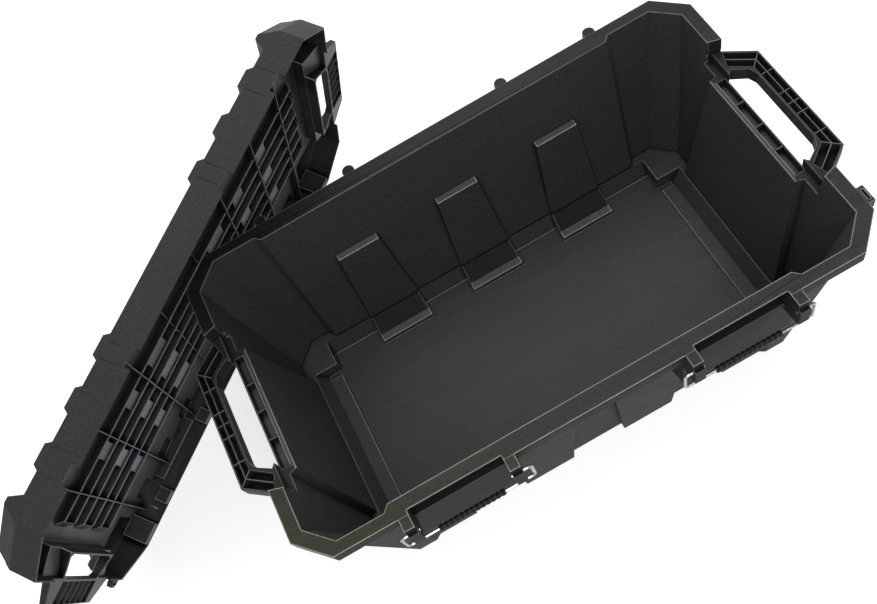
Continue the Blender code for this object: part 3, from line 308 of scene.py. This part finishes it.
def edge_wear_and_highlight(tree, place, normal):
    """1 along outer edges, broken by chance: wear, and a painted highlight that is faint where the softened
    edge doesn't face up to the light.
    """
    outer = spread(tree, openness(tree, WEAR_AND_HIGHLIGHT_REACH, inside=True), (0.62, 0.93), (1.0, 0.0))
    breaks = spread(tree, noise(tree, place, scale=60.0), (0.3, 0.6), (0.75, 1.0))
    painted_highlight_facing_up = spread(tree, parts_of(tree, normal)["Z"], (0.15, 0.5), (0.08, 1.0))
    return arithmetic(tree, "MULTIPLY", arithmetic(tree, "MULTIPLY", outer, breaks), painted_highlight_facing_up)


def height_line(tree, place, height, half_width):
    """1 along a level line round the piece, fading out above and below it."""
    away = arithmetic(tree, "ABSOLUTE", arithmetic(tree, "SUBTRACT", parts_of(tree, place)["Z"], height))
    return spread(tree, away, (half_width * 0.5, half_width * 1.5), (1.0, 0.0))


def painted_skirt_shadow_mask(tree, place):
    """How dark the lid's underside is made by a painted shadow of its upper skirt, in a strip along the
    skirt.
    """
    mapping = tree.nodes.new("ShaderNodeMapping")
    mapping.vector_type = "TEXTURE"
    mapping.inputs["Location"].default_value = LID_PLACE
    mapping.inputs["Rotation"].default_value = lid_frame().to_euler()
    tree.links.new(place, mapping.inputs["Vector"])
    across = parts_of(tree, mapping.outputs["Vector"])["Y"]
    return spread(tree, across, (LID_SHADE_START, LID_SHADE_END), (0.0, LID_SHADE_DEPTH))


def painted_front_light_and_warm_corner(tree, place, tone):
    """The rim with painted light, a little paler at the front and darker at the back, and warmer in tone at
    its front left corner.
    """
    parts = parts_of(tree, place)
    tone = mix(tree, 1.0, tone, spread(tree, parts["Y"], (-0.2, 0.2), (1.25, 0.72)), "MULTIPLY")
    corner = spread(tree, arithmetic(tree, "ADD", parts["X"], parts["Y"]), (-0.25, -0.55), (0.0, 1.0))
    return mix(tree, corner, tone, shade(WARM_TINT), "MULTIPLY")


# Materials


def moulded_plastic(name, colour, wear_and_highlight_colour, roughness, specular=0.12, clouding=0.06, scuffs=0.05, corner=0.0045,
                    painted_shadow_line=None, painted_glint_line=None, painted_skirt_shadow=False, front_light_and_warm_corner=False):
    """Satin plastic: fine grain, faint clouding and wipe marks, worn edges with a painted highlight, and
    painted shade in inner corners.

    The corner is how far out from an inner corner the painted shade starts, and the two lines, a painted
    shadow and a painted glint, are heights on the tub. The painted skirt shadow is for the lid's underside,
    and the front light and warm corner are for the tub's rim: painted light, paler at the front, and a
    warmer tone.
    """
    surface, tree, shader = new_material(name)
    place = object_place(tree)
    normal = soft_edges(tree)
    wear_and_highlight = edge_wear_and_highlight(tree, place, normal)
    painted_corner_shade = spread(tree, openness(tree, corner), (0.5, 0.93), (0.9, 0.0))

    tone = clouded(tree, place, colour, clouding)
    tone = wiped(tree, tone, wear_and_highlight_colour, scuffs)
    tone = speckled(tree, place, tone)
    tone = mix(tree, painted_corner_shade, tone, shade(colour, CREASE_SHADOW))
    if painted_skirt_shadow:
        tone = mix(tree, painted_skirt_shadow_mask(tree, place), tone, shade(colour, SHADOW))
    tone = mix(tree, wear_and_highlight, tone, shade(wear_and_highlight_colour))
    if painted_shadow_line is not None:
        line = height_line(tree, place, painted_shadow_line, SHADOW_LINE_HALF)
        tone = mix(tree, line, tone, shade(colour, SHADOW))
    if painted_glint_line is not None:
        line = height_line(tree, place, painted_glint_line, GLINT_LINE_HALF)
        tone = mix(tree, line, tone, shade(wear_and_highlight_colour, 0.7))
    if front_light_and_warm_corner:
        tone = painted_front_light_and_warm_corner(tree, place, tone)
    tree.links.new(tone, shader.inputs["Base Color"])

    patches = noise(tree, place, scale=23.0, detail=5.0, roughness=0.6)
    rough = spread(tree, patches, (0.3, 0.7), (roughness, roughness + 0.06))
    rough = arithmetic(tree, "MULTIPLY_ADD", wear_and_highlight, -0.12, rough)
    tree.links.new(rough, shader.inputs["Roughness"])
    shader.inputs["Specular IOR Level"].default_value = specular

    grain = noise(tree, place, scale=900.0, detail=2.0, roughness=0.6)
    tree.links.new(bump(tree, grain, 0.3, 0.0002, normal), shader.inputs["Normal"])
    return surface


def drawn_steel():
    """Bright wire, a little uneven in tone and gloss."""
    surface, tree, shader = new_material("drawn_steel")
    streaks = noise(tree, object_place(tree), scale=300.0)
    tone = ramp(tree, streaks, grey(0.25), shade((0.46, 0.46, 0.455)))
    tree.links.new(tone, shader.inputs["Base Color"])
    tree.links.new(ramp(tree, streaks, grey(0.16), grey(0.32)), shader.inputs["Roughness"])
    tree.links.new(bump(tree, streaks, 0.1, 0.0001), shader.inputs["Normal"])
    shader.inputs["Metallic"].default_value = 1.0
    return surface


# One black plastic in copies whose colours paint the light and shade on each place: lighter for the tub's
# floor and ledges and the lid's trays, darker for feet, outer faces and ribs
tub_floor = moulded_plastic("tub_floor", colour=(0.070, 0.0713, 0.0748), wear_and_highlight_colour=(0.50, 0.51, 0.52),
                            roughness=0.42, scuffs=0.035)
tub_ledge_painted_light = moulded_plastic("tub_ledge_painted_light", colour=(0.130, 0.134, 0.139), wear_and_highlight_colour=(0.95, 0.96, 0.97),
                            roughness=0.38, corner=0.0015)
tub_wall = moulded_plastic("tub_wall", colour=(0.060, 0.0612, 0.0625), wear_and_highlight_colour=(0.50, 0.50, 0.50),
                           roughness=0.45, scuffs=0.02, corner=0.007,
                           painted_shadow_line=KICK_LINE, painted_glint_line=FLOOR_TOP)
tub_foot_painted_shade = moulded_plastic("tub_foot_painted_shade", colour=(0.020, 0.0203, 0.0206), wear_and_highlight_colour=(0.30, 0.30, 0.30),
                           roughness=0.50, specular=0.08, scuffs=0.02, painted_shadow_line=KICK_LINE)
tub_rim = moulded_plastic("tub_rim", colour=(0.0265, 0.0266, 0.0250), wear_and_highlight_colour=(0.40, 0.40, 0.385),
                          roughness=0.45, front_light_and_warm_corner=True)
tub_outer = moulded_plastic("tub_outer", colour=(0.021, 0.021, 0.0208), wear_and_highlight_colour=(0.20, 0.20, 0.195),
                            roughness=0.50, specular=0.07, painted_shadow_line=RIM_SHADOW_LINE)
tub_handle = moulded_plastic("tub_handle", colour=(0.027, 0.0272, 0.0262), wear_and_highlight_colour=(0.17, 0.17, 0.165),
                             roughness=0.46, specular=0.1)
lid_inner = moulded_plastic("lid_inner", colour=(0.100, 0.106, 0.111), wear_and_highlight_colour=(0.50, 0.52, 0.54),
                            roughness=0.36, corner=0.012, painted_skirt_shadow=True)
lid_tray_painted_light = moulded_plastic("lid_tray_painted_light", colour=(0.225, 0.245, 0.262), wear_and_highlight_colour=(0.70, 0.74, 0.77),
                           roughness=0.32, corner=0.008, painted_skirt_shadow=True)
lid_ribs = moulded_plastic("lid_ribs", colour=(0.048, 0.050, 0.052), wear_and_highlight_colour=(0.50, 0.51, 0.52),
                           roughness=0.38, corner=0.010, painted_skirt_shadow=True)
lid_outer = moulded_plastic("lid_outer", colour=(0.0410, 0.0410, 0.0370), wear_and_highlight_colour=(0.055, 0.055, 0.05),
                            roughness=0.46, specular=0.08, corner=0.008)
grip_black = moulded_plastic("grip_black", colour=(0.010, 0.010, 0.011), wear_and_highlight_colour=(0.05, 0.05, 0.052),
                             roughness=0.38)
wire_steel = drawn_steel()


# Pieces


def new_piece(name, shape, surfaces):
    """A finished shape as an object at the origin, with its materials."""
    mesh = bpy.data.meshes.new(name)
    shape.to_mesh(mesh)
    shape.free()
    for surface in surfaces:
        mesh.materials.append(surface)
    piece = bpy.data.objects.new(name, mesh)
    bpy.context.scene.collection.objects.link(piece)
    return piece


def narrower_side(edge):
    """How wide the narrower of an edge's two faces is, square to the edge."""
    start = edge.verts[0].co
    along = (edge.verts[1].co - start).normalized()
    widths = []
    for face in edge.link_faces:
        reaches = [vertex.co - start for vertex in face.verts]
        widths.append(max((reach - along * reach.dot(along)).length for reach in reaches))
    return min(widths)


def eased_copy(node, name, surfaces):
    """A copy of a solid with its seams merged and each edge rounded as far as its faces allow."""
    shape = bmesh.new()
    shape.from_mesh(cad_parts[node].data)
    bmesh.ops.remove_doubles(shape, verts=shape.verts, dist=SEAM_GAP)
    bmesh.ops.dissolve_limit(shape, angle_limit=SEAM_ANGLE, verts=shape.verts, edges=shape.edges)
    bmesh.ops.connect_verts_concave(shape, faces=shape.faces)
    for face in shape.faces:
        face.smooth = False
    weights = shape.edges.layers.float.new("bevel_weight_edge")
    for edge in shape.edges:
        if len(edge.link_faces) == 2 and edge.calc_face_angle() > EDGE_ANGLE:
            room = min(narrower_side(edge), ROOM_PER_LENGTH * edge.calc_length())
            edge[weights] = min(1.0, ROUNDING_PER_ROOM * room / ROUNDING)
    piece = new_piece(name, shape, surfaces)
    rounding = piece.modifiers.new("rounding", "BEVEL")
    rounding.width = ROUNDING
    rounding.segments = 2
    rounding.limit_method = "WEIGHT"
    rounding.use_clamp_overlap = False
    return piece


def tub_surface(face, open_above):
    """Which copy of the tub's plastic one face gets, by its place and the way it looks: the copies differ in
    colour to paint the light and shade that fall there.
    """
    middle = face.center
    at_handle = abs(middle.x) > HANDLE_START and abs(middle.y) < HANDLE_ROOT_HALF
    if at_handle and HANDLE_LOW < middle.z < HANDLE_HIGH:
        return tub_handle
    on_end_rim = abs(middle.x) > END_RIM_START and middle.z > UPPER_HALF and face.normal.z > RIM_FACING
    if middle.z > RIM_TOP - RIM_BAND or on_end_rim:
        return tub_rim
    inside = abs(middle.x) < OPENING_HALF_LENGTH and abs(middle.y) < OPENING_HALF_WIDTH and open_above
    if not inside or face.normal.z < -UPRIGHT or middle.z < UNDERSIDE_TOP:
        return tub_outer
    # Level faces on the columns get a lighter copy as painted light, and those at the kick's top a darker
    # one as painted shade
    if face.normal.z > LEVEL:
        on_column = middle.z > FLOOR_TOP + HEIGHT_SLACK and abs(middle.x) < COLUMNS_HALF_LENGTH
        if not on_column:
            return tub_floor
        return tub_foot_painted_shade if abs(middle.z - KICK_LINE) < HEIGHT_SLACK else tub_ledge_painted_light
    # Sloping faces of the column feet get the darker copy as painted shade
    if middle.z < COLUMN_FEET_TOP and abs(middle.x) < FEET_HALF_LENGTH and face.normal.z > SLOPING:
        return tub_foot_painted_shade
    return tub_wall


def lid_surface(face, to_lid):
    """Which copy of the lid's plastic one face gets, by its place and the way it looks in the lid's own
    frame: the copies differ in colour to paint the light and shade that fall there.
    """
    middle = to_lid @ face.center
    facing = to_lid.to_3x3() @ face.normal
    past_edge = abs(middle.x) > LID_HALF_LENGTH or abs(middle.y) > LID_HALF_WIDTH
    outwards = facing.x * middle.x > CORNER_FACING and facing.y * middle.y > CORNER_FACING
    on_corner = outwards and abs(middle.x) + abs(middle.y) > LID_CORNER_SUM
    outside = past_edge or on_corner or middle.z > LID_OUTSIDE
    if outside and (facing.z > LID_FACING or middle.z < LID_RIM):
        return lid_outer
    # Upright faces get the darker ribs copy, and the trays a lighter copy, as painted shade and light
    if abs(facing.z) < UPRIGHT:
        return lid_ribs
    return lid_tray_painted_light if LID_TRAY_LOW < middle.z < LID_TRAY_HIGH else lid_inner


def handle_corner_ribs():
    """The slanted ribs that cross the tub's handles at their four outer corners."""
    shape = bmesh.new()
    for side in (-1.0, 1.0):
        for hand in (-1.0, 1.0):
            start = Vector((side * HANDLE_GAP_END, hand * HANDLE_GAP_HALF, HANDLE_RIB_MIDDLE))
            end = Vector((side * HANDLE_TIP, hand * HANDLE_TIP_HALF, HANDLE_RIB_MIDDLE))
            along = end - start
            size = (HANDLE_RIB_SHARE * along.length, HANDLE_RIB, HANDLE_RIB_HEIGHT)
            turn = Matrix.Rotation(math.atan2(along.y, along.x), 3, "Z")
            rib = bmesh.ops.create_cube(shape, size=1.0)["verts"]
            bmesh.ops.scale(shape, vec=size, verts=rib)
            bmesh.ops.rotate(shape, cent=(0.0, 0.0, 0.0), matrix=turn, verts=rib)
            bmesh.ops.translate(shape, vec=0.5 * (start + end), verts=rib)
    bmesh.ops.bevel(shape, geom=shape.edges[:], offset=HANDLE_RIB_EDGE, segments=1, affect="EDGES",
                    profile=0.5, material=-1)
    return new_piece("handle_corner_ribs", shape, [tub_handle])


tub_surfaces = [tub_wall, tub_floor, tub_rim, tub_outer, tub_foot_painted_shade, tub_ledge_painted_light, tub_handle]
tub = eased_copy("tub", "tub_shell", tub_surfaces)
shell = BVHTree.FromPolygons([v.co for v in tub.data.vertices], [f.vertices for f in tub.data.polygons])
for face in tub.data.polygons:
    above = shell.ray_cast(face.center + RAY_START * face.normal, (0.0, 0.0, 1.0))[0]
    face.material_index = tub_surfaces.index(tub_surface(face, above is None))
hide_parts("tub")
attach(tub, "tub")

corner_ribs = handle_corner_ribs()
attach(corner_ribs, "tub")

lid_surfaces = [lid_inner, lid_outer, lid_ribs, lid_tray_painted_light]
lid = eased_copy("lid", "lid_shell", lid_surfaces)
to_lid = lid_frame().inverted()
for face in lid.data.polygons:
    face.material_index = lid_surfaces.index(lid_surface(face, to_lid))
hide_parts("lid")
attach(lid, "lid")

for side in ("left", "right"):
    for part, surface in (("latch_wire_", wire_steel), ("latch_grip_", grip_black)):
        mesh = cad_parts[part + side].data
        mesh.materials.clear()
        mesh.materials.append(surface)


# Floor, light and camera


def seen_directly(tree):
    """1 where the camera, a reflection or a clear material sees a surface, and 0 for light that spreads."""
    path = tree.nodes.new("ShaderNodeLightPath")
    sharp = arithmetic(tree, "MAXIMUM", path.outputs["Is Glossy Ray"], path.outputs["Is Transmission Ray"])
    return arithmetic(tree, "MAXIMUM", path.outputs["Is Camera Ray"], sharp)


def pale_floor():
    """White to the camera and in reflections, and an ordinary pale floor to the light."""
    surface, tree, shader = new_material("pale_floor")
    shader.inputs["Base Color"].default_value = grey(FLOOR_GREY)
    shader.inputs["Roughness"].default_value = FLOOR_ROUGHNESS
    glow = tree.nodes.new("ShaderNodeEmission")
    glow.inputs["Strength"].default_value = FLOOR_GLOW
    lift = tree.nodes.new("ShaderNodeAddShader")
    feed(tree, (shader.outputs[0], glow.outputs[0]), lift.inputs)
    choose = tree.nodes.new("ShaderNodeMixShader")
    feed(tree, (seen_directly(tree), shader.outputs[0], lift.outputs[0]), choose.inputs)
    tree.links.new(choose.outputs[0], tree.nodes["Material Output"].inputs["Surface"])
    return surface


def wide_floor():
    """A level floor that reaches far past the box."""
    shape = bmesh.new()
    bmesh.ops.create_grid(shape, x_segments=1, y_segments=1, size=FLOOR_REACH)
    return new_piece("floor", shape, [pale_floor()])


def studio_world():
    """White to the camera and in reflections, and a soft even fill for everything else."""
    world = bpy.data.worlds.new("studio")
    world.use_nodes = True
    tree = world.node_tree
    background = tree.nodes["Background"]
    background.inputs["Color"].default_value = grey(1.0)
    strength = spread(tree, seen_directly(tree), (0.0, 1.0), (WORLD_FILL, 1.0))
    tree.links.new(strength, background.inputs["Strength"])
    bpy.context.scene.world = world


def soft_lamp(name, place, aim, size, power):
    """A square lamp that looks at a point."""
    lamp = bpy.data.lights.new(name, "AREA")
    lamp.shape = "SQUARE"
    lamp.size = size
    lamp.energy = power
    holder = bpy.data.objects.new(name, lamp)
    bpy.context.scene.collection.objects.link(holder)
    holder.location = place
    holder.rotation_euler = (Vector(aim) - Vector(place)).to_track_quat("-Z", "Y").to_euler()


def fitted_camera():
    """The camera at the place and turn that were fitted to the photograph."""
    camera = bpy.data.objects.new("camera", bpy.data.cameras.new("camera"))
    bpy.context.scene.collection.objects.link(camera)
    turn = Matrix((CAMERA_RIGHT, [-v for v in CAMERA_DOWN], [-v for v in CAMERA_AHEAD])).transposed()
    camera.matrix_world = Matrix.Translation(CAMERA_PLACE) @ turn.to_4x4()
    camera.data.sensor_width = CAMERA_SENSOR
    camera.data.lens = CAMERA_LENS
    camera.data.clip_end = CAMERA_REACH
    return camera


floor = wide_floor()
studio_world()
soft_lamp("top_lamp", place=(0.3, 1.5, 2.6), aim=(0.0, 0.05, 0.1), size=2.2, power=48.0)
soft_lamp("front_lamp", place=(-0.2, -1.5, 2.3), aim=(0.0, 0.0, 0.15), size=1.0, power=22.0)
bpy.context.scene.camera = fitted_camera()
bpy.context.scene.view_settings.view_transform = "Standard"
